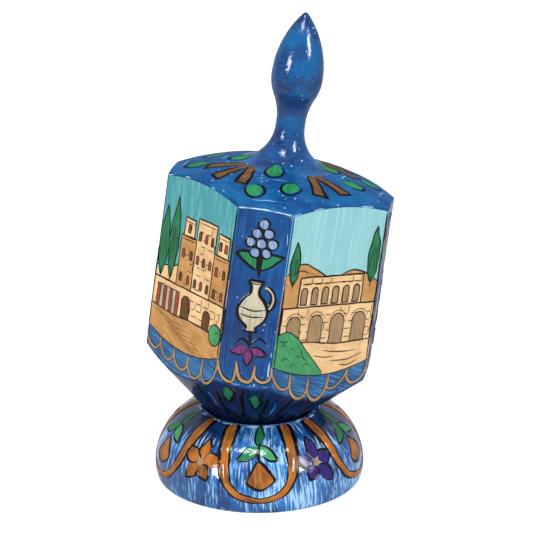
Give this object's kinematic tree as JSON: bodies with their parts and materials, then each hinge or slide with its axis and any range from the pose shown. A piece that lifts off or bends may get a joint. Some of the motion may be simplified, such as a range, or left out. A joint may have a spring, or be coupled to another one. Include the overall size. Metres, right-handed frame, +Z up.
{
  "type": "dreidel on a display stand",
  "caption": "Large painted wooden dreidel, a turned and faceted spinning top with a baluster stem, leaning in the cup of a round domed stand.",
  "frame": {"origin": "centre of the stand's flat underside", "axes": "+Z up from the table; -Y is the side that shows a chamfer face between two large faces; the dreidel leans towards +X and a little towards +Y"},
  "size_m": [0.0659, 0.0635, 0.1268],
  "materials": {
    "dreidel_paint": "gloss",
    "stand_paint": "gloss",
    "sky_paint": "gloss",
    "sand_paint": "gloss",
    "leaf_paint": "gloss",
    "gold_paint": "gloss",
    "ochre_paint": "gloss",
    "violet_paint": "gloss",
    "cream_paint": "gloss",
    "brick_paint": "gloss",
    "ink_line": "gloss"
  },
  "bodies": {
    "stand": {"stand": "stand_paint"},
    "dreidel": {"dreidel": "dreidel_paint"}
  },
  "joints": [
    {"name": "dreidel_spin", "type": "hinge", "parent": "stand", "child": "dreidel", "pos_m": [-0.0039, -0.00225, 0.00782], "axis": [0.134, 0.0774, 0.988], "continuous": true}
  ]
}
